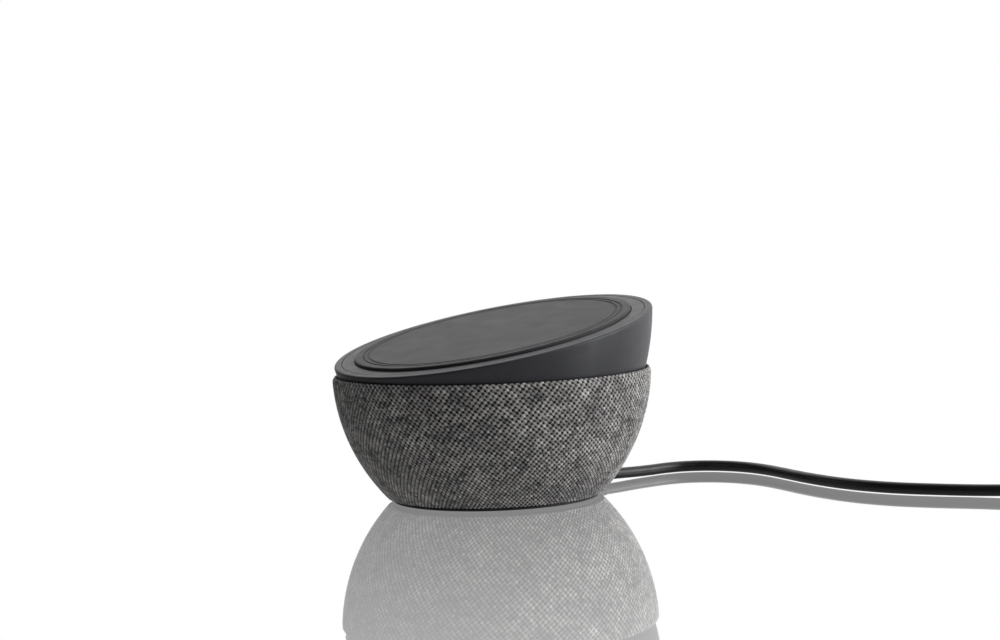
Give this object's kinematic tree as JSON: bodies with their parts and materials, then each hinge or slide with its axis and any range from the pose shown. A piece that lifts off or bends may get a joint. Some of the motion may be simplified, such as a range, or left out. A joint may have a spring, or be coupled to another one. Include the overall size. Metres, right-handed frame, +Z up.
{
  "type": "wireless charging pad",
  "caption": "Round wireless charging pad: fabric-covered bowl base with a slanted dark head that turns on a leaning pivot, and a captive cord with a plug.",
  "frame": {"origin": "centre of the underside of the foot ring, where the base stands on a table", "axes": "+Z up, the cord leaves towards +Y, which is also the high side of the face at rest; +X completes a right-handed frame"},
  "size_m": [0.197, 0.2164, 0.0544],
  "materials": {
    "soft_touch": "soft-touch paint on moulded plastic, matt",
    "silicone": "matt silicone",
    "foot_rubber": "moulded rubber, fine grain",
    "dark_plastic": "moulded ABS, fine grain",
    "trim_plastic": "satin moulded ring",
    "white_plastic": "moulded acetal",
    "fabric": "woven, light grey yarns over a black ground",
    "zinc_steel": "zinc-plated steel",
    "bare_steel": "turned steel",
    "spring_bronze": "rolled phosphor bronze",
    "board_green": "solder resist on glass-fibre laminate",
    "component_black": "moulded epoxy",
    "copper_litz": "enamelled copper litz",
    "ferrite": "sintered ferrite, dull",
    "cord_jacket": "smooth black PVC, satin",
    "plug_plastic": "moulded black PVC, fine grain",
    "plug_metal": "nickel-plated steel",
    "strap": "hook-and-loop strap"
  },
  "bodies": {
    "base": {"foot_ring": "foot_rubber", "bottom_cover": "dark_plastic", "cover_screws": "zinc_steel", "ballast_plate": "zinc_steel", "control_board": "board_green", "board_parts": "component_black", "board_screws": "zinc_steel", "supply_lead": "cord_jacket", "cord_gland": "plug_plastic", "bowl_shell": "dark_plastic", "fabric_cover": "fabric", "trim_ring": "trim_plastic", "pivot_deck": "dark_plastic", "deck_screws": "zinc_steel", "pivot_tube": "bare_steel", "glide_washer": "white_plastic", "spring_washer": "spring_bronze", "retaining_ring": "bare_steel", "coil_leads": "copper_litz", "cord": "cord_jacket", "cord_coil": "cord_jacket", "cord_tail": "cord_jacket", "cord_tie": "strap", "plug_boot": "plug_plastic", "plug_grip": "plug_plastic", "plug_shell": "plug_metal", "plug_tongue": "white_plastic"},
    "head": {"turntable": "dark_plastic", "turntable_screws": "zinc_steel", "stop_pin": "bare_steel", "head_shell": "soft_touch", "top_plate": "soft_touch", "grip_pad": "silicone", "coil_tray": "white_plastic", "tray_screws": "zinc_steel", "ferrite_sheet": "ferrite", "charging_coil": "copper_litz", "heat_sensor": "component_black"}
  },
  "joints": [
    {"name": "head_twist", "type": "hinge", "parent": "base", "child": "head", "pos_m": [0, 0.0012, 0.0356], "axis": [0, -0.0958, 0.9954], "range_deg": [0, 180]}
  ]
}
